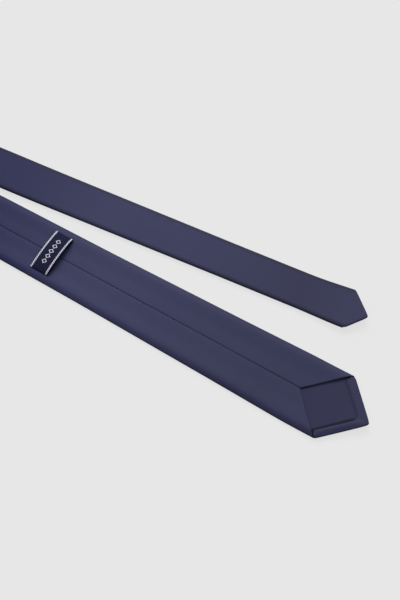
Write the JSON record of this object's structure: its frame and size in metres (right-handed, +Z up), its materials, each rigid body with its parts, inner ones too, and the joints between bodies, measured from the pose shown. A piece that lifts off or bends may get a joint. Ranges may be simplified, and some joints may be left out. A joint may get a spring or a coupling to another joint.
{
  "type": "necktie",
  "caption": "Plain navy twill necktie with lined, pointed tips and a striped keeper loop, folded once at the neck and laid flat, wide blade back side up.",
  "frame": {"origin": "middle of the laid tie's bounding box, on the table", "axes": "+X runs from the neck fold towards the tips and halves the angle between the two halves, +Y from the wide half towards the narrow one, +Z up from the table"},
  "size_m": [0.765, 0.1584, 0.016],
  "materials": {
    "silk": "fine matt twill with a slight sheen",
    "tipping": "smooth plain lining",
    "interlining": "brushed felt",
    "keeper": "woven satin ribbon",
    "thread": "spun thread"
  },
  "bodies": {
    "wide_half": {"wide_blade_shell": "silk", "neck_shell_wide_side": "silk", "interlining_wide": "interlining", "wide_tipping": "tipping", "wide_tipping_thread": "thread", "keeper_loop": "keeper", "keeper_stitches": "thread", "wide_slip_stitch": "thread", "wide_bar_tack": "thread", "wide_bias_seam_thread": "thread"},
    "neck_fold": {"neck_shell_fold": "silk", "interlining_fold": "interlining"},
    "narrow_half": {"neck_shell_narrow_side": "silk", "narrow_blade_shell": "silk", "interlining_narrow": "interlining", "narrow_tipping": "tipping", "narrow_tipping_thread": "thread", "narrow_slip_stitch": "thread", "narrow_bar_tack": "thread", "narrow_bias_seam_thread": "thread"}
  },
  "joints": [
    {"name": "fold_lower", "type": "hinge", "parent": "wide_half", "child": "neck_fold", "pos_m": [-0.38016, 0.00782, 0.00234], "axis": [0, -1, 0], "range_deg": [0, 90]},
    {"name": "fold_upper", "type": "hinge", "parent": "neck_fold", "child": "narrow_half", "pos_m": [-0.38016, 0.00936, 0.01366], "axis": [0, -1, 0], "range_deg": [0, 90]}
  ],
  "couplings": [
    {"joint": "fold_lower", "follows": "fold_upper", "ratio": 1}
  ]
}
